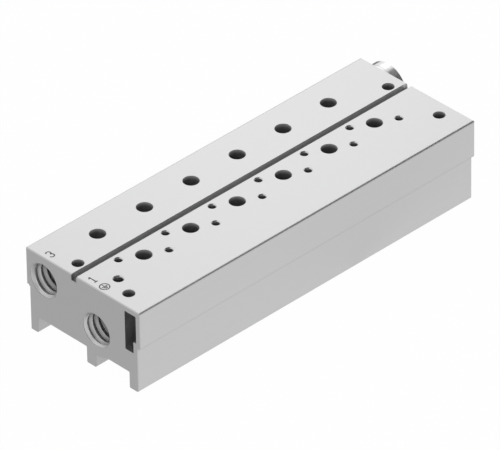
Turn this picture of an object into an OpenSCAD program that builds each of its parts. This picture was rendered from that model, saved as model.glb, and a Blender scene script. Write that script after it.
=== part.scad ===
// Six-station valve manifold rail: an extruded and drilled aluminium block with two
// lengthwise galleries, each tapped at both ends and closed at the rear by a sealed plug.
// X runs across the rail, Y along it from the open port face to the plugged end, Z up.
// The origin lies on the underside of the middle foot, below the middle of the supply row.

/* [Stations] */
// Number of valve stations
station_count = 6; // [2:1:10]
// Distance from one station to the next
station_pitch = 22; // [21:0.5:30]
// Distance from the outermost station to the line of mounting holes
bolt_offset = 19; // [16:0.5:26]
// Distance from the front mounting holes to the port face
front_margin = 6; // [4.5:0.1:12]
// Distance from the rear mounting holes to the plugged face
rear_margin = 6.3; // [4.5:0.1:12]

/* [Section] */
// Height of the body above its feet
body_h = 33; // [32:0.1:40]
// Distance from the supply row to the left side
left_reach = 31.9; // [31.5:0.1:38]
// Distance from the supply row to the right side
right_reach = 23.8; // [23.4:0.1:26]
// Height of the step in both sides
step_z = 18.2; // [16.5:0.1:20]
// How far the lower part stands back from the upper part
side_step = 1.4; // [0.6:0.1:1.8]
// Radius of the long upper edges
edge_r = 0.75; // [0.3:0.05:1]
// Radius of the smaller profile corners
corner_r = 0.4; // [0.2:0.1:0.6]
// Chamfer round the two end faces
end_chamfer = 0.5; // [0.2:0.1:0.8]

/* [Feet] */
// Height of the two channels between the feet
channel_h = 6.5; // [5:0.1:6.8]
// Width of the left foot
left_foot_w = 3.9; // [3:0.1:6]
// Width of the middle foot
middle_foot_w = 4.4; // [3:0.1:6]
// Centre of the middle foot
middle_foot_x = -0.3; // [-1:0.1:1]
// Width of the right foot
right_foot_w = 4.1; // [3:0.1:6]

/* [Side chamber] */
// Width of the hollow chamber beside the right wall
chamber_w = 5.35; // [4.6:0.05:5.6]
// Thickness of the chamber's outer wall
chamber_wall = 1.8; // [1.4:0.1:2.2]
// Thickness of the wall over the chamber
chamber_roof = 2; // [1.5:0.1:3]
// Height of the chamber's floor
chamber_floor_z = 15.3; // [12:0.1:16]

/* [Groove] */
// Centre of the groove between the two rows
groove_x = -8.05; // [-8.2:0.05:-7.8]
// Width of the groove at the top face
groove_w = 2.6; // [2:0.1:2.8]
// Width of the groove's floor
groove_floor_w = 1.9; // [1:0.1:2]
// Depth of the groove
groove_depth = 2.3; // [1:0.1:3]

/* [Ports] */
// Thread diameter of the four end ports
port_d = 13.16; // [12.5:0.02:13.4]
// Depth of the tapped length
port_depth = 12; // [9:0.5:14]
// Diameter of the chamfer at a port's mouth
port_mouth_d = 13.6; // [13.5:0.1:14.4]
// Diameter of the galleries between the ports
gallery_d = 11; // [10:0.1:11.4]
// Centre of the supply gallery across the rail
supply_x = 2.3; // [1.8:0.1:2.6]
// Height of the supply gallery
supply_z = 15.4; // [15:0.1:17]
// Thickness of the wall round the supply port
supply_wall = 3.7; // [3.2:0.1:4]
// Centre of the exhaust gallery across the rail
exhaust_x = -23.3; // [-23.6:0.1:-22.6]
// Height of the exhaust gallery
exhaust_z = 23.15; // [22:0.05:24]

/* [Passages] */
// Diameter of the drilled passages from the top to the galleries
passage_d = 6; // [4:0.1:7]
// Height above a gallery's axis at which its passages end
passage_stop = 2.5; // [1.8:0.1:4]
// Distance from the supply row to the exhaust row
row_gap = 20; // [19:0.1:21]
// How far the exhaust row lies in front of the supply row
row_lag = 2.5; // [0:0.1:4]

/* [Screw holes] */
// Tapping diameter of the valve screw holes
screw_d = 2.5; // [2:0.05:3]
// Diameter of the countersink at a valve screw hole
screw_mouth_d = 3.2; // [3.1:0.05:4]
// Depth of the valve screw holes
screw_depth = 8; // [5:0.5:9]
// Distance across the rail from a passage to its screw holes
screw_dx = 4; // [3.8:0.1:4.2]
// Distance along the rail from a passage to its screw holes
screw_dy = 8; // [7:0.1:8.5]
// Tapping diameter of the earthing hole
earth_d = 3.3; // [2.5:0.05:3.5]
// Diameter of the countersink at the earthing hole
earth_mouth_d = 4.1; // [3.9:0.05:4.6]
// Depth of the earthing hole
earth_depth = 8; // [5:0.5:9]
// Distance from the supply row to the earthing hole
earth_x = 4; // [3:0.1:5]
// Distance from the port face to the earthing hole
earth_y = 9.4; // [9:0.1:11]

/* [Mounting holes] */
// Diameter of the four mounting holes
bolt_d = 4.5; // [3.4:0.1:4.8]
// Distance across the rail between the mounting holes
bolt_gap = 24.8; // [24.6:0.1:25.2]
// Middle of the mounting holes across the rail
bolt_mid_x = 0.15; // [0:0.05:0.3]

/* [Plugs] */
// Diameter of a plug's collar
collar_d = 18; // [16:0.1:18]
// Thickness of a plug's collar
collar_h = 3.5; // [2.5:0.1:6]
// Bevel of a plug's collar
collar_bevel = 0.3; // [0.1:0.1:1]
// Length of a plug's threaded shank inside the body
shank_l = 9; // [6:0.5:9]
// Radial clearance between a plug's shank and its port
shank_gap = 0.03; // [0.02:0.01:0.1]
// Bevel at the shank's tip
shank_bevel = 0.8; // [0.3:0.1:1.2]
// Width across flats of a plug's hexagon socket
socket_af = 6; // [4:0.5:8]
// Depth of a plug's hexagon socket
socket_depth = 6; // [4:0.5:8]
// Bevel at the mouth of the hexagon socket
socket_bevel = 0.4; // [0.2:0.1:0.8]
// Thickness of the seal between body and collar
seal_h = 1.5; // [1:0.1:2.5]
// Radial clearance between a seal and the shank
seal_gap = 0.1; // [0.05:0.05:0.5]
// How far a seal stands back from the collar's rim
seal_inset = 0.1; // [0:0.1:1]

/* [Hidden] */
$fn = 64;
// Overshoot of a cutter past the face it opens
cut = 0.5;
// Included angle of a drill's tip
drill_angle = 118;

row_l = (station_count - 1) * station_pitch;
bolt_y = row_l / 2 + bolt_offset;
front_y = -bolt_y - front_margin;
rear_y = bolt_y + rear_margin;
body_l = rear_y - front_y;
body_w = left_reach + right_reach;
body_mid_x = (right_reach - left_reach) / 2;
lower_left_x = side_step - left_reach;
lower_right_x = right_reach - side_step;
middle_foot_left = middle_foot_x - middle_foot_w / 2;
middle_foot_right = middle_foot_x + middle_foot_w / 2;
chamber_right = right_reach - chamber_wall;
chamber_left = chamber_right - chamber_w;
chamber_low_right = lower_right_x - chamber_wall;
chamber_ledge_z = step_z + chamber_wall;
chamber_top_z = body_h - chamber_roof;
boss_r = port_d / 2 + supply_wall;
shank_d = port_d - 2 * shank_gap;
seal_id = shank_d + 2 * seal_gap;
seal_od = collar_d - 2 * seal_inset;
plug_back = seal_h + collar_h;
galleries = [[exhaust_x, exhaust_z], [supply_x, supply_z]];

function station_y(i) = i * station_pitch - row_l / 2;
function drill_tip(d) = d / 2 / tan(drill_angle / 2);

// Section of the block
module box_2d(x0, x1, z0, z1) {
    translate([x0, z0]) square([x1 - x0, z1 - z0]);
}

// What a rounding of radius r takes off a corner whose material lies towards sx, sz
module corner_waste(x, z, r, sx, sz) {
    difference() {
        translate([x + sx * (r - cut) / 2, z + sz * (r - cut) / 2])
            square([r + cut, r + cut], center = true);
        translate([x + sx * r, z + sz * r]) circle(r);
    }
}

// What a fillet of radius r leaves in an inner corner whose hollow lies towards sx, sz
module corner_fill(x, z, r, sx, sz) {
    difference() {
        translate([x + sx * r / 2, z + sz * r / 2]) square([r, r], center = true);
        translate([x + sx * r, z + sz * r]) circle(r);
    }
}

module outer_corners() {
    corner_waste(-left_reach, body_h, edge_r, 1, -1);
    corner_waste(right_reach, body_h, edge_r, -1, -1);
    corner_waste(-left_reach, step_z, corner_r, 1, 1);
    corner_waste(right_reach, step_z, corner_r, -1, 1);
    corner_waste(lower_left_x, 0, corner_r, 1, 1);
    corner_waste(lower_right_x, 0, corner_r, -1, 1);
    corner_waste(lower_left_x + left_foot_w, 0, corner_r, -1, 1);
    corner_waste(lower_right_x - right_foot_w, 0, corner_r, 1, 1);
    corner_waste(middle_foot_left, 0, corner_r, 1, 1);
    corner_waste(middle_foot_right, 0, corner_r, -1, 1);
}

module channels() {
    difference() {
        box_2d(lower_left_x + left_foot_w, middle_foot_left, -cut, channel_h);
        corner_fill(lower_left_x + left_foot_w, channel_h, corner_r, 1, -1);
        corner_fill(middle_foot_left, channel_h, corner_r, -1, -1);
    }
    difference() {
        box_2d(middle_foot_right, lower_right_x - right_foot_w, -cut, channel_h);
        corner_fill(lower_right_x - right_foot_w, channel_h, corner_r, -1, -1);
    }
}

module chamber() {
    difference() {
        union() {
            box_2d(chamber_left, chamber_right, chamber_ledge_z, chamber_top_z);
            box_2d(chamber_left, chamber_low_right, chamber_floor_z, chamber_ledge_z + cut);
        }
        corner_fill(chamber_left, chamber_top_z, corner_r, 1, -1);
        corner_fill(chamber_right, chamber_top_z, corner_r, -1, -1);
        corner_fill(chamber_left, chamber_floor_z, corner_r, 1, 1);
        corner_fill(chamber_low_right, chamber_floor_z, corner_r, -1, 1);
    }
}

// Groove whose sides lean in towards its floor
module groove() {
    translate([groove_x, body_h]) polygon([
        [-groove_w / 2, cut], [groove_w / 2, cut], [groove_w / 2, 0],
        [groove_floor_w / 2, -groove_depth], [-groove_floor_w / 2, -groove_depth], [-groove_w / 2, 0]
    ]);
}

module section() {
    difference() {
        union() {
            difference() {
                union() {
                    box_2d(-left_reach, right_reach, step_z, body_h);
                    box_2d(lower_left_x, lower_right_x, 0, step_z + cut);
                }
                channels();
            }
            translate([supply_x, supply_z]) circle(boss_r);
        }
        outer_corners();
        chamber();
        groove();
    }
}

// Extrudes a drawing of the section from the port face to the plugged face
module along_rail() {
    translate([0, rear_y, 0]) rotate([90, 0, 0]) linear_extrude(body_l) children();
}

// Bevels of the two end faces. Those under the step stop short of it by their own width.
module square_bar(c, l) {
    cube([c * sqrt(2), c * sqrt(2), l], center = true);
}

module upright_bevel(x, y, z0, z1) {
    translate([x, y, (z0 + z1) / 2]) rotate([0, 0, 45]) square_bar(end_chamfer, z1 - z0);
}

module end_bevels() {
    for (y = [front_y, rear_y]) {
        translate([body_mid_x, y, body_h]) rotate([0, 90, 0]) rotate([0, 0, 45])
            square_bar(end_chamfer, body_w + 2 * cut);
        for (x = [-left_reach, right_reach])
            upright_bevel(x, y, step_z - cut, body_h + cut);
        for (x = [lower_left_x, lower_right_x])
            upright_bevel(x, y, -cut, step_z - end_chamfer);
    }
}

// Drilling down from the top face
module drilling(x, y, d, depth) {
    translate([x, y, body_h - depth]) cylinder(d = d, h = depth + cut);
}

// Countersunk blind hole with the cone that its drill leaves
module tapped_hole(x, y, d, mouth_d, depth) {
    sink = (mouth_d - d) / 2;
    translate([x, y, body_h]) rotate_extrude() polygon([
        [0, cut], [mouth_d / 2 + cut, cut], [d / 2, -sink], [d / 2, -depth], [0, -depth - drill_tip(d)]
    ]);
}

module stations() {
    for (i = [0:station_count - 1]) {
        drilling(0, station_y(i), passage_d, body_h - supply_z - passage_stop);
        drilling(-row_gap, station_y(i) - row_lag, passage_d,
                 body_h - exhaust_z - passage_stop);
        for (s = [-1, 1])
            tapped_hole(s * screw_dx, station_y(i) + s * screw_dy, screw_d, screw_mouth_d, screw_depth);
    }
}

module mounting_holes() {
    for (sx = [-1, 1])
        for (sy = [-1, 1])
            translate([bolt_mid_x + sx * bolt_gap / 2, sy * bolt_y, -cut])
                cylinder(d = bolt_d, h = body_h + 2 * cut);
}

// Half outline of a gallery's front end: mouth, tapped length, then the gallery itself
function port_outline() = let(sink = (port_mouth_d - port_d) / 2) [
    [port_mouth_d / 2 + cut, -cut], [port_d / 2, sink], [port_d / 2, port_depth],
    [gallery_d / 2, port_depth]
];

// Gallery with a tapped port at each end, turned about its own axis
module gallery_cut(g) {
    front = port_outline();
    rear = [for (i = [len(front) - 1:-1:0]) [front[i][0], body_l - front[i][1]]];
    translate([g[0], front_y, g[1]]) rotate([-90, 0, 0]) rotate_extrude()
        polygon(concat([[0, -cut]], front, rear, [[0, body_l + cut]]));
}

module manifold_body() {
    color([0.80, 0.81, 0.82]) difference() {
        along_rail() section();
        end_bevels();
        for (g = galleries)
            gallery_cut(g);
        stations();
        tapped_hole(earth_x, front_y + earth_y, earth_d, earth_mouth_d, earth_depth);
        mounting_holes();
    }
}

// Plug turned about +Z, with the body's face at z = 0 and the shank below it
module plug_shape() {
    difference() {
        rotate_extrude() polygon([
            [0, -shank_l],
            [shank_d / 2 - shank_bevel, -shank_l],
            [shank_d / 2, shank_bevel - shank_l],
            [shank_d / 2, seal_h],
            [collar_d / 2, seal_h],
            [collar_d / 2, plug_back - collar_bevel],
            [collar_d / 2 - collar_bevel, plug_back],
            [0, plug_back]
        ]);
        translate([0, 0, plug_back - socket_depth])
            cylinder(d = socket_af / cos(30), h = socket_depth + cut, $fn = 6);
        translate([0, 0, plug_back - socket_bevel])
            cylinder(d1 = socket_af, d2 = socket_af + 2 * (socket_bevel + cut), h = socket_bevel + cut);
    }
}

module seal_shape() {
    difference() {
        cylinder(d = seal_od, h = seal_h);
        translate([0, 0, -cut]) cylinder(d = seal_id, h = seal_h + 2 * cut);
    }
}

// Stands a turned piece on the plugged face at a gallery's end
module at_rear(g) {
    translate([g[0], rear_y, g[1]]) rotate([-90, 0, 0]) children();
}

module exhaust_plug() {
    color([0.72, 0.73, 0.74]) at_rear(galleries[0]) plug_shape();
}

module supply_plug() {
    color([0.72, 0.73, 0.74]) at_rear(galleries[1]) plug_shape();
}

module exhaust_plug_seal() {
    color([0.86, 0.86, 0.85]) at_rear(galleries[0]) seal_shape();
}

module supply_plug_seal() {
    color([0.86, 0.86, 0.85]) at_rear(galleries[1]) seal_shape();
}

manifold_body();
exhaust_plug();
supply_plug();
exhaust_plug_seal();
supply_plug_seal();
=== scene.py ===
"""Looks of a six-station pneumatic manifold rail: finishes, cut threads, engraved marks and studio.

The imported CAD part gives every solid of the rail. This script dresses those solids, lines the tapped
holes with cut threads, engraves the three plain marks beside the front ports, and sets up the studio
and the camera of the photograph. Lengths in the classes are millimetres; meshes are in metres.
"""

import logging
import math
from collections.abc import Iterable, Sequence
from dataclasses import dataclass, field, replace
from enum import Enum

import bmesh
import bpy
import numpy as np
from mathutils import Matrix, Vector


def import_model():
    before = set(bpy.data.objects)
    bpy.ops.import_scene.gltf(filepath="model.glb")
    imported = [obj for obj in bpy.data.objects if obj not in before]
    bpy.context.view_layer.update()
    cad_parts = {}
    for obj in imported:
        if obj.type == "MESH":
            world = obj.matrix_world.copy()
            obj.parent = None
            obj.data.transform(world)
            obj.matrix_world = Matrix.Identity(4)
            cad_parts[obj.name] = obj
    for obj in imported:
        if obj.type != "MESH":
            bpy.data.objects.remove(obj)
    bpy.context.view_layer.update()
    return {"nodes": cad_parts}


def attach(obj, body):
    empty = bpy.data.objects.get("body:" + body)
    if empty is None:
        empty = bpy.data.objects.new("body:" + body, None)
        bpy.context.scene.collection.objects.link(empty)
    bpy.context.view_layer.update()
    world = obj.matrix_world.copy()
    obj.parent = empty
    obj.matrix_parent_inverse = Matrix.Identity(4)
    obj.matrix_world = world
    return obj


LOG = logging.getLogger("manifold_rail")
MM = 0.001
WELD = 1e-7
CREASE = math.radians(32)
BODY = "root"
TOP_Z = 33.0
FRONT_Y = -80.0
STATIONS = (-55.0, -33.0, -11.0, 11.0, 33.0, 55.0)
Colour = tuple[float, float, float]
Point = tuple[float, float, float]
Pair = tuple[float, float]
WHITE: Colour = (1.0, 1.0, 1.0)


class Slot(Enum):
    """Material slots of the record that the pieces take their finish from."""

    BODY = "body_aluminium"
    PLUG = "plug_steel"
    SEAL = "seal_aluminium"


class Node(Enum):
    """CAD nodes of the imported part."""

    BODY = "manifold_body"
    EXHAUST_PLUG = "exhaust_plug"
    SUPPLY_PLUG = "supply_plug"
    EXHAUST_SEAL = "exhaust_plug_seal"
    SUPPLY_SEAL = "supply_plug_seal"


class Glyph(Enum):
    """Plain marks engraved beside the front ports."""

    THREE = "exhaust_port_number"
    ONE = "supply_port_number"
    EARTH = "earthing_sign"


@dataclass(frozen=True)
class Grain:
    """Noise of a finish, and how far one unit of it moves the tone, the roughness and the height.

    The stretch is in cells per millimetre along each axis and the depth in millimetres.
    """

    stretch: Point
    detail: float = 2.0
    rough: float = 0.6
    tone: float = 0.0
    roughness: float = 0.0
    depth: float = 0.0


class Signal:
    """A number that varies over a surface: a node's output that takes part in Python arithmetic."""

    def __init__(self, bench: "Bench", socket: bpy.types.NodeSocket) -> None:
        """Wraps an output socket of a node on the bench."""
        self.bench = bench
        self.socket = socket

    def _with(self, operation: str, first: object, second: object) -> "Signal":
        """Adds one Math node and wraps its output."""
        node = self.bench.node("ShaderNodeMath", {"operation": operation}, {0: first, 1: second})
        return Signal(self.bench, node.outputs[0])

    def __add__(self, other: object) -> "Signal":
        """Sum."""
        return self._with("ADD", self, other)

    def __radd__(self, other: object) -> "Signal":
        """Sum with a plain number on the left."""
        return self._with("ADD", other, self)

    def __sub__(self, other: object) -> "Signal":
        """Difference."""
        return self._with("SUBTRACT", self, other)

    def __rsub__(self, other: object) -> "Signal":
        """Difference with a plain number on the left."""
        return self._with("SUBTRACT", other, self)

    def __mul__(self, other: object) -> "Signal":
        """Product."""
        return self._with("MULTIPLY", self, other)

    def __rmul__(self, other: object) -> "Signal":
        """Product with a plain number on the left."""
        return self._with("MULTIPLY", other, self)

    def __abs__(self) -> "Signal":
        """Distance from zero."""
        return self._with("ABSOLUTE", self, 0.0)

    def root(self) -> "Signal":
        """Square root."""
        return self._with("SQRT", self, 0.0)

    def largest(self, other: object) -> "Signal":
        """The larger of two numbers."""
        return self._with("MAXIMUM", self, other)

    def above(self, edge: float, width: float) -> "Signal":
        """Mask that climbs from 0 to 1 as the number passes an edge.

        Args:
            edge: Value at the middle of the climb.
            width: Range over which the mask climbs.

        Returns:
            A number from 0 to 1.
        """
        ramp = (self - (edge - width / 2)) * (1 / width)
        return ramp._with("MINIMUM", ramp._with("MAXIMUM", ramp, 0.0), 1.0)

    def between(self, low: float, high: float, width: float) -> "Signal":
        """Mask that is 1 between two edges and falls to 0 past each.

        Args:
            low: Lower edge.
            high: Upper edge.
            width: Range over which the mask climbs and falls.

        Returns:
            A number from 0 to 1.
        """
        return self.above(low, width) * (1 - self.above(high, width))


class Bench:
    """Lays out the nodes of one material or of the world."""

    def __init__(self, tree: bpy.types.NodeTree) -> None:
        """Starts from an empty node tree."""
        self.tree = tree
        tree.nodes.clear()

    def node(
        self,
        kind: str,
        settings: dict[str, object] | None = None,
        sockets: dict[int | str, object] | None = None,
    ) -> bpy.types.Node:
        """Adds a node of any type.

        Args:
            kind: Blender's name of the node type.
            settings: Node properties, set before the sockets.
            sockets: Values, links or signals by socket name or number.

        Returns:
            The new node.
        """
        node = self.tree.nodes.new(kind)
        for name, value in (settings or {}).items():
            setattr(node, name, value)
        for key, value in (sockets or {}).items():
            target = node.inputs[key]
            if isinstance(value, Signal):
                self.tree.links.new(value.socket, target)
            elif isinstance(value, bpy.types.NodeSocket):
                self.tree.links.new(value, target)
            elif isinstance(value, tuple) and target.type == "RGBA":
                target.default_value = (*value, 1.0)
            else:
                target.default_value = value
        return node

    def millimetres(self, stretch: Point = (1.0, 1.0, 1.0)) -> bpy.types.NodeSocket:
        """Object coordinates in millimetres.

        Args:
            stretch: Factor of each axis.

        Returns:
            The coordinates as a vector socket.
        """
        place = self.node("ShaderNodeTexCoord").outputs["Object"]
        scale = tuple(s / MM for s in stretch)
        return self.node("ShaderNodeMapping", sockets={"Vector": place, "Scale": scale}).outputs[0]

    def axes(self) -> tuple[Signal, Signal, Signal]:
        """The three object coordinates in millimetres as signals."""
        split = self.node("ShaderNodeSeparateXYZ", sockets={0: self.millimetres()})
        return tuple(Signal(self, out) for out in split.outputs)

    def noise(self, grain: Grain) -> Signal:
        """Fractal noise centred on zero, from about -0.5 to 0.5.

        Args:
            grain: Its stretch, its number of octaves and the share that each octave keeps.

        Returns:
            The noise as a signal.
        """
        node = self.node(
            "ShaderNodeTexNoise",
            {"noise_dimensions": "3D"},
            {
                "Vector": self.millimetres(grain.stretch),
                "Scale": 1.0,
                "Detail": grain.detail,
                "Roughness": grain.rough,
            },
        )
        return Signal(self, node.outputs[0]) - 0.5

    def mixed(self, share: Signal, first: object, second: object) -> bpy.types.NodeSocket:
        """Colour that goes from the first to the second as the share goes from 0 to 1."""
        node = self.node(
            "ShaderNodeMix",
            {"data_type": "RGBA", "clamp_factor": True},
            {0: share, 6: first, 7: second},
        )
        return node.outputs[2]

    def scaled(self, colour: object, by: Signal) -> bpy.types.NodeSocket:
        """Colour times a number."""
        grey = self.node("ShaderNodeCombineXYZ", sockets={0: by, 1: by, 2: by}).outputs[0]
        return self.node(
            "ShaderNodeMix",
            {"data_type": "RGBA", "blend_type": "MULTIPLY"},
            {0: 1.0, 6: colour, 7: grey},
        ).outputs[2]

    def relief(self, height: Signal, depth: float) -> bpy.types.NodeSocket:
        """Normal that a height pattern gives.

        Args:
            height: Pattern, about -0.5 to 0.5.
            depth: Height in millimetres that one unit of the pattern stands for.

        Returns:
            The normal socket.
        """
        return self.node(
            "ShaderNodeBump", sockets={"Strength": 1.0, "Distance": depth * MM, "Height": height}
        ).outputs[0]

    def surface(self, sockets: dict[int | str, object]) -> None:
        """Closes a material with one Principled shader."""
        shader = self.node("ShaderNodeBsdfPrincipled", sockets=sockets)
        self.node("ShaderNodeOutputMaterial", sockets={"Surface": shader.outputs[0]})

    def grained(self, colour: object, metallic: float, roughness: float, grain: Grain) -> None:
        """Closes a material whose tone, roughness and relief follow one grain.

        Args:
            colour: Its colour before the grain.
            metallic: 1 for a metal and 0 for a fill.
            roughness: Its roughness before the grain.
            grain: The noise and its reach.
        """
        noise = self.noise(grain)
        self.surface(
            {
                "Base Color": self.scaled(colour, 1 + noise * grain.tone),
                "Metallic": metallic,
                "Roughness": roughness + noise * grain.roughness,
                "Normal": self.relief(noise, grain.depth),
            }
        )


def new_material(name: str) -> tuple[bpy.types.Material, Bench]:
    """Makes an empty node material.

    Args:
        name: The material's name.

    Returns:
        The material and the bench that its nodes are laid out on.
    """
    material = bpy.data.materials.new(name)
    material.use_nodes = True
    return material, Bench(material.node_tree)


def box_mask(place: Sequence[Signal], low: Point, high: Point, widths: Point) -> Signal:
    """Mask of the inside of an upright box.

    Args:
        place: The three coordinates.
        low: Lower corner.
        high: Upper corner.
        widths: Range over which the mask climbs and falls along each axis.

    Returns:
        A number from 0 to 1.
    """
    across, along, up = (axis.between(*span) for axis, *span in zip(place, low, high, widths))
    return across * along * up


@dataclass(frozen=True)
class SatinAluminium:
    """Anodised satin skin of the extrusion, with milled ends and raw drilled bores, and painted light and
    shade: the ends and the groove are painted darker as shade, and a few other faces take painted light
    or shade.

    A climb is the middle and the width of the range over which a mask goes from 0 to 1, and a blur
    is that width at every edge of a mask.
    """

    name: str = "satin_anodised_aluminium"
    skin: Colour = (0.583, 0.583, 0.585)
    # The end faces are milled (their grain and roughness are real); their darker tone is painted shade.
    milled_and_shaded: Colour = (0.395, 0.395, 0.397)
    drilled: Colour = (0.60, 0.60, 0.602)
    # Darker tone in the groove: painted shade in the recess.
    groove_painted_shade: Colour = (0.455, 0.455, 0.457)
    roughness: float = 0.40
    milled_roughness: float = 0.44
    rim_roughness: float = 0.14
    beads: Grain = Grain((5.0, 5.0, 5.0), 3.0, tone=0.05, roughness=0.06, depth=0.0016)
    clouds: Grain = Grain((0.035, 0.02, 0.035), rough=0.5, tone=0.05, roughness=0.04)
    drawn: Grain = Grain((2.6, 0.012, 2.6), 3.0, 0.65, tone=0.07, roughness=0.06, depth=0.0012)
    cuts: Grain = Grain((0.05, 1.0, 4.5), tone=0.08, roughness=0.08, depth=0.002)
    blur: float = 0.1
    middle: Pair = (-4.05, 0.15)
    end_climb: Pair = (79.92, 0.4)
    top_climb: Pair = (32.5, 0.5)
    bore_low: Point = (-30.2, -79.55, 6.9)
    bore_high: Point = (22.15, 79.85, 32.62)
    bore_blur: Point = (0.2, 0.5, 0.3)
    rim_margin: float = 0.8
    rim_heights: Pair = (32.58, 32.975)
    rim_blur: Point = (0.2, 0.2, 0.02)
    groove: Pair = (-9.45, -6.65)
    groove_lips: Pair = (-9.6, -6.5)
    groove_lip_blur: float = 0.05
    groove_floor: float = 30.6
    # Painted light: the groove's walls are made lighter toward the top face.
    lip_climb: Pair = (32.1, 1.9)
    lip_painted_light: float = 0.80
    # Painted shade at both ends of the groove.
    mouth_climb: Pair = (78.8, 1.6)
    mouth_shade: float = 0.5
    # Painted shade: a darker band along the step of the sides.
    step_heights: Pair = (16.9, 18.6)
    step_blur: float = 0.5
    step_shade: float = 0.12
    # Painted shade along the long top edges, standing in for the dark reflection in their fillets.
    edge_climb: Pair = (27.23, 0.3)
    edge_height_climb: Pair = (32.38, 0.3)
    edge_painted_shade: float = 0.15
    # Painted light: inner walls past the chamber's edge across the rail are made lighter toward the top.
    chamber_climb: Pair = (16.4, 0.3)
    chamber_height_climb: Pair = (20.0, 5.0)
    chamber_painted_light: float = 0.45
    # Painted shade in the channels under the rail, darker still toward their roofs.
    channels: Pair = (-26.7, 18.4)
    channel_heights: Pair = (0.1, 6.7)
    channel_painted_shade: float = 0.20
    roof_climb: Pair = (5.8, 1.4)
    roof_painted_shade: float = 0.22

    def _masks(self, place: tuple[Signal, Signal, Signal]) -> dict[str, Signal]:
        """Masks of the faces that were made in their own way, or that take painted light or shade.

        Args:
            place: The three object coordinates in millimetres.

        Returns:
            Numbers from 0 to 1 by the name of the face.
        """
        x, y, z = place
        low, high = self.bore_low, self.bore_high
        ends = abs(y - self.middle[1]).above(*self.end_climb)
        bores = box_mask(place, low, high, self.bore_blur)
        rim_low = (low[0], low[1] + self.rim_margin, self.rim_heights[0])
        rim_high = (high[0], high[1] - self.rim_margin, self.rim_heights[1])
        rims = box_mask(place, rim_low, rim_high, self.rim_blur)
        groove = x.between(*self.groove, self.blur) * z.between(self.groove_floor, high[2], self.blur)
        step = z.between(*self.step_heights, self.step_blur)
        channels = x.between(*self.channels, self.blur)
        channels = channels * z.between(*self.channel_heights, self.blur)
        middle_x = abs(x - self.middle[0])
        return {
            "ends": ends,
            "sides": (1 - z.above(*self.top_climb)) * (1 - ends),
            "bores": bores,
            "rims": rims * (1 - x.between(*self.groove_lips, self.groove_lip_blur)),
            "groove": groove,
            "step": step * (1 - bores) * (1 - ends),
            "edges": middle_x.above(*self.edge_climb) * z.above(*self.edge_height_climb),
            "channels": channels * (1 - ends),
        }

    def _painted_light_and_shade(self, place: tuple[Signal, Signal, Signal], masks: dict[str, Signal]) -> Signal:
        """Factor of painted light and shade on the tone of the metal: painted shade along the side step,
        the long top edges, the groove's ends and the channels, and painted light on the groove's upper
        walls and the chamber's upper walls.

        Args:
            place: The three object coordinates in millimetres.
            masks: The masks of the faces.

        Returns:
            A number about 1.
        """
        x, y, z = place
        groove, chamber = masks["groove"], masks["bores"] * x.above(*self.chamber_climb)
        # Painted shade along the step of the sides.
        painted_shading = 1 - masks["step"] * self.step_shade
        # Painted shade along the long top edges, for the dark reflection in their fillets.
        painted_shading = painted_shading * (1 - masks["edges"] * self.edge_painted_shade)
        # Painted light on the groove's upper walls.
        painted_shading = painted_shading * (1 + groove * z.above(*self.lip_climb) * self.lip_painted_light)
        # Painted shade at the groove's ends.
        painted_shading = painted_shading * (1 - groove * abs(y).above(*self.mouth_climb) * self.mouth_shade)
        # Painted light on the chamber's upper walls.
        painted_shading = painted_shading * (1 + chamber * z.above(*self.chamber_height_climb) * self.chamber_painted_light)
        # Painted shade in the channels, darker toward their roofs.
        roof = z.above(*self.roof_climb) * self.roof_painted_shade
        return painted_shading * (1 - masks["channels"] * (roof + self.channel_painted_shade))

    def make(self) -> bpy.types.Material:
        """Builds the material.

        Returns:
            A metal whose tone, roughness and relief follow how each face of the rail was made, and whose
            tone also takes painted light and shade.
        """
        material, bench = new_material(self.name)
        place = bench.axes()
        masks = self._masks(place)
        ends, rims = masks["ends"], masks["rims"]
        tone, rough, height = 1.0, self.roughness, 0.0
        grains = ((self.beads, 1.0), (self.clouds, 1.0), (self.drawn, masks["sides"]), (self.cuts, ends))
        for grain, where in grains:
            noise = bench.noise(grain) * where
            tone = tone + noise * grain.tone
            rough = rough + noise * grain.roughness
            height = height + noise * grain.depth
        # The ends take a darker tone, which is painted shade.
        metal = bench.mixed(ends, self.skin, self.milled_and_shaded)
        metal = bench.mixed(masks["bores"].largest(rims), metal, self.drilled)
        # The groove takes a darker tone, which is painted shade.
        metal = bench.mixed(masks["groove"], metal, self.groove_painted_shade)
        rough = rough + (self.milled_roughness - self.roughness) * ends
        rough = rough + (self.rim_roughness - self.roughness) * rims
        bench.surface(
            {
                "Base Color": bench.scaled(metal, tone * self._painted_light_and_shade(place, masks)),
                "Metallic": 1.0,
                "Roughness": rough,
                "Normal": bench.relief(height, 1.0),
            }
        )
        return material


@dataclass(frozen=True)
class TurnedSteel:
    """Plated steel of a plug, with the fine rings that turning leaves."""

    name: str = "plated_turned_steel"
    metal: Colour = (0.76, 0.76, 0.765)
    rubbed: Colour = (0.70, 0.70, 0.703)
    roughness: float = 0.24
    rings: Grain = Grain((0.15, 9.0, 0.15), tone=0.06, roughness=0.05, depth=0.0009)
    rubs: Grain = Grain((0.5, 0.8, 0.5), 3.0, roughness=0.08)
    rub_climb: Pair = (0.12, 0.2)

    def make(self) -> bpy.types.Material:
        """Builds the material.

        Returns:
            A smooth metal with rings across the plug's axis and a few rubbed patches.
        """
        material, bench = new_material(self.name)
        rings, rubs = bench.noise(self.rings), bench.noise(self.rubs)
        metal = bench.mixed(rubs.above(*self.rub_climb), self.metal, self.rubbed)
        rough = self.roughness + rings * self.rings.roughness + rubs * self.rubs.roughness
        bench.surface(
            {
                "Base Color": bench.scaled(metal, 1 + rings * self.rings.tone),
                "Metallic": 1.0,
                "Roughness": rough,
                "Normal": bench.relief(rings, self.rings.depth),
            }
        )
        return material


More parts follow.
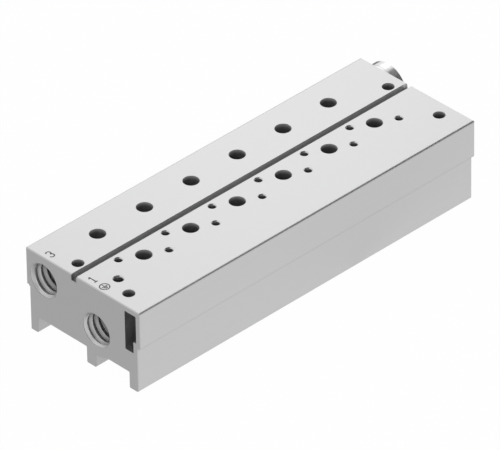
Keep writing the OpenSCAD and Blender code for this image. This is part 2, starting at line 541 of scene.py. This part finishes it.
@dataclass(frozen=True)
class SoftAluminium:
    """Pressed aluminium of a sealing ring, a little bruised where it is clamped."""

    name: str = "pressed_seal_aluminium"
    metal: Colour = (0.80, 0.80, 0.79)
    roughness: float = 0.45
    mottle: Grain = Grain((1.4, 1.4, 1.4), 3.0, tone=0.12, roughness=0.12, depth=0.004)

    def make(self) -> bpy.types.Material:
        """Builds the material.

        Returns:
            A pale dull metal with faint mottling.
        """
        material, bench = new_material(self.name)
        bench.grained(self.metal, 1.0, self.roughness, self.mottle)
        return material


@dataclass(frozen=True)
class CutThread:
    """Bare aluminium of a tapped thread or a bore, with painted shade in the thread's roots and at depth.

    The painted shade in the roots climbs in shares of the thread's height, and with the depth under the
    mouth.
    """

    name: str
    axis: int
    face: float
    inward: float
    metal: Colour = (0.61, 0.61, 0.613)
    # Tone that the painted shade reaches deep in the bore.
    bore_painted_shade: Colour = (0.36, 0.36, 0.361)
    bright_to: float = 5.0
    dark_from: float = 8.0
    roughness: float = 0.50
    centre: Pair | None = None
    crest_r: float = 5.8
    root_r: float = 6.565
    # Painted shade in the thread's roots: where it climbs across the height, from what depth, and how far
    # it goes.
    root_shade_climb: Pair = (0.35, 0.8)
    root_shade_depth_climb: Pair = (1.6, 0.8)
    root_painted_shade: float = 0.9
    chatter: Grain = Grain((1.5, 1.5, 1.5), 3.0, tone=0.10, roughness=0.10, depth=0.004)

    def make(self) -> bpy.types.Material:
        """Builds the material.

        Returns:
            A metal with painted shade that darkens it from one depth under the mouth to another and,
            where the bore's centre is given, from the crests to the roots of the thread.
        """
        material, bench = new_material(self.name)
        axes = bench.axes()
        depth = (axes[self.axis] - self.face) * self.inward
        middle = (self.bright_to + self.dark_from) / 2
        # Painted shade that darkens the bore with depth under the mouth.
        bore_painted_shade = depth.above(middle, self.dark_from - self.bright_to)
        if self.centre:
            across, up = (axes[n] - c for n, c in zip((0, 2), self.centre))
            radius = (across * across + up * up).root()
            height = self.root_r - self.crest_r
            # Painted shade in the roots of the thread, from the crests toward the roots.
            below_root, width = self.root_shade_climb
            root_painted_shade = radius.above(self.root_r - height * below_root, height * width)
            bore_painted_shade = bore_painted_shade.largest(root_painted_shade * depth.above(*self.root_shade_depth_climb) * self.root_painted_shade)
        metal = bench.mixed(bore_painted_shade, self.metal, self.bore_painted_shade)
        bench.grained(metal, 1.0, self.roughness, self.chatter)
        return material


@dataclass(frozen=True)
class EngravedFill:
    """Dark grey of a lasered mark, which isn't quite even."""

    name: str = "lasered_mark"
    colour: Colour = (0.13, 0.13, 0.131)
    roughness: float = 0.65
    speckle: Grain = Grain((7.0, 7.0, 7.0), tone=0.5, roughness=0.1, depth=0.004)

    def make(self) -> bpy.types.Material:
        """Builds the material.

        Returns:
            A matt grey with fine speckle.
        """
        material, bench = new_material(self.name)
        bench.grained(self.colour, 0.0, self.roughness, self.speckle)
        return material


def build_mesh(name: str, points: np.ndarray, faces: Iterable[Sequence[int]]) -> bpy.types.Object:
    """Puts computed points and faces into a mesh object whose place is in its mesh.

    Points that fall together are merged, faces that collapsed are dropped and the normals are turned
    outwards, so the caller may pass grids whose seams and ends meet.

    Args:
        name: The object's name.
        points: Array (n, 3) in millimetres in the rail's frame.
        faces: Corner numbers of each face.

    Returns:
        The linked object, smooth-shaded with its creases kept sharp.
    """
    mesh = bpy.data.meshes.new(name)
    mesh.from_pydata((np.asarray(points) * MM).tolist(), [], [tuple(f) for f in faces])
    shell = bmesh.new()
    shell.from_mesh(mesh)
    bmesh.ops.remove_doubles(shell, verts=shell.verts, dist=WELD)
    bmesh.ops.dissolve_degenerate(shell, edges=shell.edges, dist=WELD)
    bmesh.ops.recalc_face_normals(shell, faces=shell.faces)
    shell.to_mesh(mesh)
    shell.free()
    mesh.polygons.foreach_set("use_smooth", np.ones(len(mesh.polygons), bool))
    mesh.set_sharp_from_angle(angle=CREASE)
    piece = bpy.data.objects.new(name, mesh)
    bpy.context.scene.collection.objects.link(piece)
    return piece


def grid_faces(rows: int, columns: int, wrap: bool, slip: int = 0) -> np.ndarray:
    """Faces of a grid of points stored row by row.

    Args:
        rows: Number of rows.
        columns: Number of points in a row.
        wrap: Whether the last column joins the first.
        slip: Rows by which the last column joins the first further on, as on a helix.

    Returns:
        Array (m, 4) of corner numbers.
    """
    row, column = np.meshgrid(np.arange(rows - 1), np.arange(columns), indexing="ij")
    row, column = row.ravel(), column.ravel()
    last = column == columns - 1
    keep = (~last | (row + slip + 1 < rows)) if wrap else ~last
    row, column, last = row[keep], column[keep], last[keep]
    beside = np.where(last, (row + slip) * columns, row * columns + column + 1)
    here = row * columns + column
    return np.stack([here, beside, beside + columns, here + columns], 1)


def eased(share: np.ndarray) -> np.ndarray:
    """Smooth climb from 0 to 1 as the share goes from 0 to 1."""
    share = np.clip(share, 0, 1)
    return share**2 * (3 - 2 * share)


def dress(piece: bpy.types.Object, material: bpy.types.Material) -> None:
    """Gives a new piece its material and the body that it rides on.

    Args:
        piece: The mesh object.
        material: Its only material.
    """
    piece.data.materials.append(material)
    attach(piece, BODY)
    LOG.info("%s: %d faces", piece.name, len(piece.data.polygons))


@dataclass
class Thread:
    """Right-handed thread cut in a bore, as a closed sleeve that lines the CAD bore.

    Depths run from the bore's mouth into the metal, angles round its axis.
    """

    pitch: float
    root_r: float
    crest_r: float
    wall_r: float
    start: float
    end: float
    run_in: float
    crest: float = 0.25
    flank: float = 0.3
    back_flank: float = 0.3
    first_crest: float = 0.0
    lead_in: float = 0.0
    lip: float = 0.15
    rows_per_turn: int = 8
    columns: int = 96

    def _radius(self, depth: np.ndarray, phase: np.ndarray) -> np.ndarray:
        """Radius of the sleeve's inner face.

        It is the root radius less the thread's height times a trapezoid of the phase, and the height
        fades in over run_in from the start and out over half of run_in before the end. Down to the
        depth lead_in the height is at least that of a cone that narrows from the root to the crests.
        Over the lip at each end the root radius widens to the wall radius, inside the metal.

        Args:
            depth: Depth of each point under the mouth.
            phase: Place of each point within one pitch, from 0 to 1, with the crest's front edge at 0.

        Returns:
            The radii, in the arrays' shape.
        """
        crest, front, back = self.crest, self.flank, self.back_flank
        height = np.where(
            phase < crest,
            1.0,
            np.where(
                phase < crest + back,
                1 - (phase - crest) / back,
                np.where(phase > 1 - front, (phase - 1 + front) / front, 0.0),
            ),
        )
        fade = eased((depth - self.start - self.lip) / self.run_in)
        fade = fade * eased((self.end - self.lip - depth) / (self.run_in / 2))
        cone_length = max(self.lead_in - self.start, MM)
        cone = np.where(depth < self.lead_in, (depth - self.start) / cone_length, 0.0)
        inside = np.minimum(depth - self.start, self.end - depth)
        base = self.wall_r + (self.root_r - self.wall_r) * np.clip(inside / self.lip, 0, 1)
        return base - (self.root_r - self.crest_r) * np.maximum(height * fade, cone)

    def sleeve(self) -> tuple[np.ndarray, np.ndarray]:
        """Surface of the sleeve about its own axis.

        The inner face is a ribbon carried along a helix: the point at turn share t of ribbon row k
        lies at depth k + pitch * t, clipped to the sleeve's ends, at the radius of its phase. The
        outer face is the cylinder of wall radius between the two end rings.

        Returns:
            Points (n, 3) as across, up, depth, and the faces.
        """
        edges = [0.0, self.crest, self.crest + self.back_flank, 1 - self.flank]
        even = (np.arange(self.rows_per_turn) / self.rows_per_turn).round(4)
        steps = np.array(sorted({*edges, *even}))
        turns = np.arange(-1, int(np.ceil((self.end - self.start) / self.pitch)) + 2)
        rows = (turns[:, None] + steps[None, :]).ravel()
        lap = np.arange(self.columns) / self.columns
        along = rows[:, None] + lap[None, :]
        depth = np.clip(self.first_crest + self.pitch * along, self.start, self.end)
        phase = np.repeat(np.mod(rows, 1.0)[:, None], self.columns, 1)
        radius = self._radius(depth, phase)
        angle = -2 * np.pi * lap[None, :] * np.ones_like(rows)[:, None]
        inner = np.stack([radius * np.cos(angle), radius * np.sin(angle), depth], -1)
        ring = np.stack([np.cos(angle[0]), np.sin(angle[0])], -1) * self.wall_r
        outer = np.stack(
            [np.column_stack([ring, np.full(self.columns, d)]) for d in (self.start, self.end)]
        )
        inner_faces = grid_faces(len(rows), self.columns, True, len(steps))
        outer_faces = grid_faces(2, self.columns, True) + inner[..., 0].size
        points = np.concatenate([inner.reshape(-1, 3), outer.reshape(-1, 3)])
        return points, np.concatenate([inner_faces, outer_faces])


@dataclass
class TappedHoles:
    """The cut threads of the two open ports, the screw holes and the earthing hole."""

    port_axes: dict[str, Pair] = field(
        default_factory=lambda: {"exhaust": (-23.3, 23.15), "supply": (2.3, 15.4)}
    )
    port_starts: dict[str, float] = field(
        default_factory=lambda: {"exhaust": 0.55, "supply": 0.02}
    )
    screw_step: Pair = (4.0, 8.0)
    earth: Pair = (4.0, -70.6)
    port_thread: Thread = field(
        default_factory=lambda: Thread(
            pitch=2.58, root_r=6.565, crest_r=5.8, wall_r=6.66, start=0.3, end=11.9,
            run_in=1.0, crest=0.28, flank=0.42, back_flank=0.16, lead_in=1.8,
        )
    )
    screw_thread: Thread = field(
        default_factory=lambda: Thread(
            pitch=0.5, root_r=1.215, crest_r=1.12, wall_r=1.3, start=0.36, end=6.5,
            run_in=0.4, crest=0.15, flank=0.38, back_flank=0.38, columns=24,
        )
    )
    earth_thread: Thread = field(
        default_factory=lambda: Thread(
            pitch=0.7, root_r=1.6, crest_r=1.47, wall_r=1.72, start=0.42, end=6.8,
            run_in=0.5, crest=0.15, flank=0.38, back_flank=0.38, columns=32,
        )
    )

    def _port(self, name: str, x: float, z: float) -> bpy.types.Object:
        """Lines one port: across, up and depth become X, Z and Y.

        Args:
            name: Which port.
            x: Place of its axis across the rail.
            z: Height of its axis.

        Returns:
            The threaded sleeve.
        """
        points, faces = replace(self.port_thread, first_crest=self.port_starts[name]).sleeve()
        across, up, depth = points.T
        placed = np.column_stack([x + across, FRONT_Y + depth, z + up])
        return build_mesh(f"{name}_port_thread", placed, faces)

    def _drilled(self, name: str, thread: Thread, x: float, y: float) -> bpy.types.Object:
        """Lines one hole of the top face: across, up and depth become Y, X and minus Z.

        Args:
            name: The piece's name.
            thread: The thread that it has.
            x: Place of its axis across the rail.
            y: Place of its axis along the rail.

        Returns:
            The threaded sleeve.
        """
        points, faces = thread.sleeve()
        across, up, depth = points.T
        placed = np.column_stack([x + up, y + across, TOP_Z - depth])
        return build_mesh(name, placed, faces)

    def build(
        self, port_cuts: dict[str, bpy.types.Material], screw_cut: bpy.types.Material
    ) -> None:
        """Builds and dresses every thread.

        Args:
            port_cuts: Finish of each port's thread.
            screw_cut: Finish of the threads in the top face.
        """
        for name, (x, z) in self.port_axes.items():
            dress(self._port(name, x, z), port_cuts[name])
        across, along = self.screw_step
        for number, y in enumerate(STATIONS, 1):
            for side, end in ((-1, "front"), (1, "rear")):
                name = f"screw_thread_{number}_{end}"
                piece = self._drilled(name, self.screw_thread, side * across, y + side * along)
                dress(piece, screw_cut)
        dress(self._drilled("earth_thread", self.earth_thread, *self.earth), screw_cut)


@dataclass
class SmoothBores:
    """Reamed walls of the air passages and the mounting holes, as thin closed tubes."""

    exhaust_row: Pair = (-20.0, -2.5)
    passage_r: float = 3.0
    bolt_r: float = 2.25
    bolt_x: Pair = (-12.25, 12.55)
    bolt_y: float = 74.0
    supply_length: float = 8.0
    exhaust_length: float = 4.2
    bolt_length: float = 24.0
    inset: float = 0.015
    backing: float = 0.08
    below_top: float = 0.02
    columns: int = 72

    def tube(self, radius: float, length: float) -> tuple[np.ndarray, np.ndarray]:
        """Surface of a tube about a vertical axis, its upper end at height 0.

        The half section is a loop of four points, (inner, 0), (inner, -length), (outer, -length) and
        (outer, 0), turned about the axis: each point keeps its radius and height at every angle.

        Args:
            radius: Radius of the bore that it lines.
            length: Length of the tube.

        Returns:
            Points (n, 3) as across, along, height, and the faces.
        """
        inner, outer = radius - self.inset, radius + self.backing
        loop = np.array([(inner, 0), (inner, -length), (outer, -length), (outer, 0), (inner, 0)])
        turn = 2 * np.pi * np.arange(self.columns) / self.columns
        across = loop[:, :1] * np.cos(turn)[None, :]
        along = loop[:, :1] * np.sin(turn)[None, :]
        height = np.repeat(loop[:, 1:], self.columns, 1)
        points = np.stack([across, along, height], -1).reshape(-1, 3)
        return points, grid_faces(len(loop), self.columns, True)

    def _holes(self) -> list[tuple[str, float, float, float, float]]:
        """Lists the tubes.

        Returns:
            Name, place across and along, radius and length of each.
        """
        across, lag = self.exhaust_row
        size = (self.passage_r, self.supply_length)
        holes = [(f"supply_passage_{n}", 0.0, y, *size) for n, y in enumerate(STATIONS, 1)]
        size = (self.passage_r, self.exhaust_length)
        holes += [
            (f"exhaust_passage_{n}", across, y + lag, *size) for n, y in enumerate(STATIONS, 1)
        ]
        for side, x in zip(("left", "right"), self.bolt_x):
            for end, y in (("front", -self.bolt_y), ("rear", self.bolt_y)):
                holes.append((f"mounting_bore_{side}_{end}", x, y, self.bolt_r, self.bolt_length))
        return holes

    def build(self, wall: bpy.types.Material) -> None:
        """Builds and dresses every tube.

        Args:
            wall: Finish of the walls.
        """
        for name, x, y, radius, length in self._holes():
            points, faces = self.tube(radius, length)
            placed = points + (x, y, TOP_Z - self.below_top)
            dress(build_mesh(name, placed, faces), wall)


@dataclass
class Marks:
    """Thin engraved strokes on the top face, read from the rail's left side."""

    line_y: float = -77.05
    height: float = 3.5
    stroke: float = 0.48
    ring_stroke: float = 0.44
    bar_stroke: float = 0.38
    ring_r: float = 1.74
    stem: Pair = (0.1, 1.4)
    bars: tuple[Pair, ...] = ((1.25, 0.1), (0.9, -0.45), (0.5, -1.0))
    proud: float = 0.012
    layer: float = 0.002
    sunk: float = 0.05
    places: dict[Glyph, float] = field(
        default_factory=lambda: {Glyph.THREE: -22.7, Glyph.ONE: -1.9, Glyph.EARTH: 4.0}
    )

    @staticmethod
    def arc(
        centre: Pair, radius: float, start: float, end: float, step: float = 10.0
    ) -> np.ndarray:
        """Points of an arc.

        Args:
            centre: Middle of the arc as right, up.
            radius: Radius.
            start: First angle in degrees from right.
            end: Last angle.
            step: Largest angle between two points.

        Returns:
            Array (n, 2).
        """
        turn = np.radians(np.linspace(start, end, int(abs(end - start) / step) + 2))
        return np.array(centre) + radius * np.column_stack([np.cos(turn), np.sin(turn)])

    def strokes(self, glyph: Glyph) -> list[tuple[np.ndarray, bool, float]]:
        """Centre lines of a mark, in a box whose middle is the origin.

        Args:
            glyph: Which mark.

        Returns:
            For each stroke its points as right, up, whether it closes, and its width.
        """
        h = self.height / 2
        if glyph is Glyph.THREE:
            upper = self.arc((0, h * 0.47), h * 0.5, 155, -80)
            lower = self.arc((0, -h * 0.47), h * 0.53, 80, -172)
            return [(np.concatenate([upper, lower]), False, self.stroke)]
        if glyph is Glyph.ONE:
            flag, foot = [(0.05, h), (-0.75, h - 0.85)], [(-0.75, -h), (0.75, -h)]
            lines = [[(0, -h), (0, h)], flag, foot]
            return [(np.array(line, float), False, self.stroke) for line in lines]
        ring = self.arc((0, 0), self.ring_r, 0, 350)[:-1]
        foot, head = self.stem
        lines = [[(0, head), (0, foot)]]
        lines += [[(-half, level), (half, level)] for half, level in self.bars]
        strokes = [(np.array(line, float), False, self.bar_stroke) for line in lines]
        return [(ring, True, self.ring_stroke), *strokes]

    def bar(
        self, line: np.ndarray, closed: bool, width: float, proud: float
    ) -> tuple[np.ndarray, np.ndarray]:
        """Rectangle carried along a line in the plane.

        Each point of the line gets four corners: half a width to its left and right, along the
        normal of the line's direction there, at the sunk and at the proud height.

        Args:
            line: Centre line as right, up.
            closed: Whether the line's end joins its start.
            width: Width of the stroke.
            proud: Height over the face.

        Returns:
            Points (n, 3) as right, up, height, and the faces.
        """
        before = np.roll(line, 1, 0) if closed else np.vstack([line[:1], line[:-1]])
        after = np.roll(line, -1, 0) if closed else np.vstack([line[1:], line[-1:]])
        along = after - before
        along = along / np.linalg.norm(along, axis=1, keepdims=True)
        side = np.column_stack([-along[:, 1], along[:, 0]]) * width / 2
        rows = len(line)
        corners = [(1, proud), (-1, proud), (-1, -self.sunk), (1, -self.sunk)]
        tracks = [np.column_stack([line + s * side, np.full(rows, h)]) for s, h in corners]
        points = np.stack(tracks, 1)
        if closed:
            points = np.concatenate([points, points[:1]])
            return points.reshape(-1, 3), grid_faces(rows + 1, 4, True)
        caps = np.array([[3, 2, 1, 0], 4 * (rows - 1) + np.arange(4)])
        return points.reshape(-1, 3), np.concatenate([grid_faces(rows, 4, True), caps])

    def build(self, fill: bpy.types.Material) -> None:
        """Builds and dresses the marks: right and up of a mark are the rail's Y and minus X.

        Args:
            fill: Finish of the strokes.
        """
        for glyph, x in self.places.items():
            points, faces, count = [], [], 0
            for number, (line, closed, width) in enumerate(self.strokes(glyph)):
                proud = self.proud + self.layer * number
                part, part_faces = self.bar(line, closed, width, proud)
                points.append(part)
                faces.append(part_faces + count)
                count += len(part)
            right, up, height = np.concatenate(points).T
            placed = np.column_stack([x - up, self.line_y + right, TOP_Z + height])
            dress(build_mesh(glyph.value, placed, np.concatenate(faces)), fill)


@dataclass
class Rail:
    """The CAD solids of the rail, each with the slot of the record that it takes its finish from."""

    nodes: dict[str, bpy.types.Object]
    slots: dict[Node, Slot] = field(
        default_factory=lambda: {
            Node.BODY: Slot.BODY,
            Node.EXHAUST_PLUG: Slot.PLUG,
            Node.SUPPLY_PLUG: Slot.PLUG,
            Node.EXHAUST_SEAL: Slot.SEAL,
            Node.SUPPLY_SEAL: Slot.SEAL,
        }
    )

    def paint(self, finishes: dict[Slot, bpy.types.Material]) -> None:
        """Puts its slot's finish on every material slot of each CAD node.

        Args:
            finishes: The finish of each slot of the record.
        """
        for node, slot in self.slots.items():
            piece, finish = self.nodes[node.value], finishes[slot]
            if not piece.material_slots:
                piece.data.materials.append(finish)
            for holder in piece.material_slots:
                holder.material = finish
            LOG.info("%s: %s", piece.name, finish.name)


@dataclass(frozen=True)
class Softbox:
    """Rectangular studio lamp that shines at a point, in metres."""

    name: str
    place: Point
    aim: Point
    size: Pair
    radiance: float

    def set_up(self) -> None:
        """Adds the lamp. Its power is its radiance times pi times its area."""
        lamp = bpy.data.lights.new(self.name, "AREA")
        lamp.shape = "RECTANGLE"
        lamp.size, lamp.size_y = self.size
        lamp.energy = self.radiance * math.pi * self.size[0] * self.size[1]
        holder = bpy.data.objects.new(self.name, lamp)
        bpy.context.scene.collection.objects.link(holder)
        holder.location = self.place
        look = Vector(self.aim) - Vector(self.place)
        holder.rotation_euler = look.to_track_quat("-Z", "Y").to_euler()
        holder.visible_camera = False


@dataclass(frozen=True)
class GreyCard:
    """Grey studio card that only reflections show, given by its corners in metres."""

    name: str
    corners: tuple[Point, Point, Point, Point]
    grey: float

    def set_up(self) -> None:
        """Adds the card, hidden from the camera and from the light that falls on the rail."""
        mesh = bpy.data.meshes.new(self.name)
        mesh.from_pydata(self.corners, [], [(0, 1, 2, 3)])
        material, bench = new_material(self.name)
        shade = bench.node(
            "ShaderNodeEmission", sockets={"Color": (self.grey,) * 3, "Strength": 1.0}
        )
        bench.node("ShaderNodeOutputMaterial", sockets={"Surface": shade.outputs[0]})
        mesh.materials.append(material)
        card = bpy.data.objects.new(self.name, mesh)
        bpy.context.scene.collection.objects.link(card)
        for ray in ("camera", "diffuse", "transmission", "shadow", "volume_scatter"):
            setattr(card, f"visible_{ray}", False)


@dataclass(frozen=True)
class Camera:
    """The photograph's camera: a long lens far off, level but for a degree, with no shift.

    The angles, the focal length in pixels, the pixels per millimetre at the anchor and the pixel
    where the anchor lands come from fitting the hole centres and corners of the photograph.
    """

    azimuth: float = 46.190
    elevation: float = 35.186
    roll: float = -0.955
    focal_px: float = 8690.0
    scale_px: float = 2.9661
    anchor: Point = (0.0, -55.0, 33.0)
    anchor_px: Pair = (143.83, 254.67)
    frame_px: tuple[int, int] = (500, 450)
    sensor: float = 36.0
    clip: Pair = (0.05, 60.0)

    def set_up(self) -> None:
        """Places the camera.

        The back, right and up axes follow from the angles. The anchor lies focal / scale millimetres
        in front of the lens, and its offset from the middle of the frame, over the scale, is how far
        the lens axis passes from it.
        """
        turn, lift, tilt = (math.radians(v) for v in (self.azimuth, self.elevation, self.roll))
        away = np.array([math.sin(turn), -math.cos(turn), 0.0])
        back = away * math.cos(lift) + np.array([0.0, 0.0, math.sin(lift)])
        level = np.array([math.cos(turn), math.sin(turn), 0.0])
        upright = np.cross(back, level)
        right = math.cos(tilt) * level + math.sin(tilt) * upright
        up = -math.sin(tilt) * level + math.cos(tilt) * upright
        off_x = (self.anchor_px[0] - self.frame_px[0] / 2) / self.scale_px
        off_y = -(self.anchor_px[1] - self.frame_px[1] / 2) / self.scale_px
        place = np.array(self.anchor) - off_x * right - off_y * up
        place = place + self.focal_px / self.scale_px * back
        lens = bpy.data.cameras.new("photograph_camera")
        lens.sensor_fit = "HORIZONTAL"
        lens.sensor_width = self.sensor
        lens.lens = self.focal_px / self.frame_px[0] * self.sensor
        lens.clip_start, lens.clip_end = self.clip
        holder = bpy.data.objects.new("photograph_camera", lens)
        bpy.context.scene.collection.objects.link(holder)
        pose = np.eye(4)
        pose[:3] = np.column_stack([right, up, back, place * MM])
        holder.matrix_world = Matrix(pose.tolist())
        bpy.context.scene.camera = holder


@dataclass
class Studio:
    """Plain white studio: floor, world, lamps, grey cards and the camera."""

    camera: Camera = field(default_factory=Camera)
    world_level: float = 0.55
    floor_albedo: float = 0.80
    floor_glow: float = 0.985
    floor_half: float = 15.0
    lamps: tuple[Softbox, ...] = (
        Softbox(
            "back_left_softbox",
            place=(-0.280, 0.270, 0.291),
            aim=(-0.01, 0.005, 0.033),
            size=(0.26, 0.2),
            radiance=0.61,
        ),
        Softbox(
            "overhead_softbox", place=(0.0, 0.0, 1.5), aim=(0.0, 0.0, 0.0), size=(1.6, 1.6), radiance=0.25
        ),
    )
    cards: tuple[GreyCard, ...] = (
        GreyCard(
            "back_right_card",
            ((1.02, 0.32, 0.28), (0.35, 0.88, 0.28), (0.21, 0.78, 0.92), (0.89, 0.22, 0.92)),
            grey=0.10,
        ),
        GreyCard(
            "plug_card",
            (
                (-0.056, 0.189, 0.321),
                (0.09, 0.189, 0.321),
                (0.09, 0.319, 0.229),
                (-0.056, 0.319, 0.229),
            ),
            grey=0.20,
        ),
        GreyCard(
            "front_overhead_card",
            ((0.14, 0.42, 0.75), (0.95, 0.42, 0.75), (0.95, -0.62, 0.75), (0.14, -0.62, 0.75)),
            grey=0.20,
        ),
        GreyCard(
            "rear_horizon_card",
            ((-0.24, 0.62, 0.004), (0.12, 0.62, 0.004), (0.12, 0.62, 0.24), (-0.24, 0.62, 0.24)),
            grey=0.10,
        ),
        GreyCard(
            "low_rear_card",
            ((-0.62, 0.10, 0.002), (-0.07, 0.10, 0.002), (-0.07, 0.60, 0.002), (-0.62, 0.60, 0.002)),
            grey=0.08,
        ),
    )

    @staticmethod
    def _seen_directly(bench: Bench) -> Signal:
        """Mask of the rays that see the background itself.

        Args:
            bench: Bench of the material or world.

        Returns:
            1 on camera, glossy and transmission rays and 0 on others.
        """
        path = bench.node("ShaderNodeLightPath")
        camera, glossy, transmission = (
            Signal(bench, path.outputs[f"Is {ray} Ray"]) for ray in ("Camera", "Glossy", "Transmission")
        )
        return camera.largest(glossy).largest(transmission)

    def _floor(self) -> None:
        """A wide pale floor that glows white to the eye and still takes a faint shadow."""
        mesh = bpy.data.meshes.new("studio_floor")
        half = self.floor_half
        corners = [(-half, -half, 0), (half, -half, 0), (half, half, 0), (-half, half, 0)]
        mesh.from_pydata(corners, [], [(0, 1, 2, 3)])
        material, bench = new_material("studio_floor_white")
        dull = bench.node("ShaderNodeBsdfDiffuse", sockets={"Color": (self.floor_albedo,) * 3})
        white = bench.node("ShaderNodeEmission", sockets={"Color": WHITE, "Strength": 1.0})
        mix = bench.node(
            "ShaderNodeMixShader",
            sockets={
                0: self._seen_directly(bench) * self.floor_glow,
                1: dull.outputs[0],
                2: white.outputs[0],
            },
        )
        bench.node("ShaderNodeOutputMaterial", sockets={"Surface": mix.outputs[0]})
        mesh.materials.append(material)
        floor = bpy.data.objects.new("studio_floor", mesh)
        bpy.context.scene.collection.objects.link(floor)

    def _world(self) -> None:
        """White where it is seen, and a plain grey level of light where it only lights."""
        world = bpy.data.worlds.new("studio_world")
        world.use_nodes = True
        bench = Bench(world.node_tree)
        lit, seen = (
            bench.node("ShaderNodeBackground", sockets={"Color": WHITE, "Strength": level})
            for level in (self.world_level, 1.0)
        )
        mix = bench.node(
            "ShaderNodeMixShader",
            sockets={0: self._seen_directly(bench), 1: lit.outputs[0], 2: seen.outputs[0]},
        )
        bench.node("ShaderNodeOutputWorld", sockets={"Surface": mix.outputs[0]})
        bpy.context.scene.world = world

    def set_up(self) -> None:
        """Sets the view transform and builds everything that isn't the rail."""
        bpy.context.scene.view_settings.view_transform = "Standard"
        self._floor()
        self._world()
        for lamp in self.lamps:
            lamp.set_up()
        for card in self.cards:
            card.set_up()
        self.camera.set_up()


def main() -> None:
    """Builds the looks of the rail in order."""
    logging.basicConfig(level=logging.INFO, format="%(name)s: %(message)s")
    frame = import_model()
    Rail(frame["nodes"]).paint(
        {
            Slot.BODY: SatinAluminium().make(),
            Slot.PLUG: TurnedSteel().make(),
            Slot.SEAL: SoftAluminium().make(),
        }
    )
    holes = TappedHoles()
    # Port threads take painted shade at depth and in their roots; screw holes take painted shade from
    # just under the mouth.
    holes.build(
        {
            name: CutThread(
                f"tapped_{name}_port", axis=1, face=FRONT_Y, inward=1.0, centre=centre
            ).make()
            for name, centre in holes.port_axes.items()
        },
        CutThread(
            "tapped_screw_hole", axis=2, face=TOP_Z, inward=-1.0, bore_painted_shade=(0.17,) * 3,
            bright_to=-0.2, dark_from=0.9, roughness=0.35,
        ).make(),
    )
    # Bore walls take painted shade over the first 1.7 mm under the top face.
    SmoothBores().build(
        CutThread(
            "drilled_bore", axis=2, face=TOP_Z, inward=-1.0, metal=(0.75,) * 3, bore_painted_shade=(0.27,) * 3,
            bright_to=0.0, dark_from=1.7, roughness=0.68,
        ).make()
    )
    Marks().build(EngravedFill().make())
    Studio().set_up()
    LOG.info("boxes written")


if __name__ == "__main__":
    main()
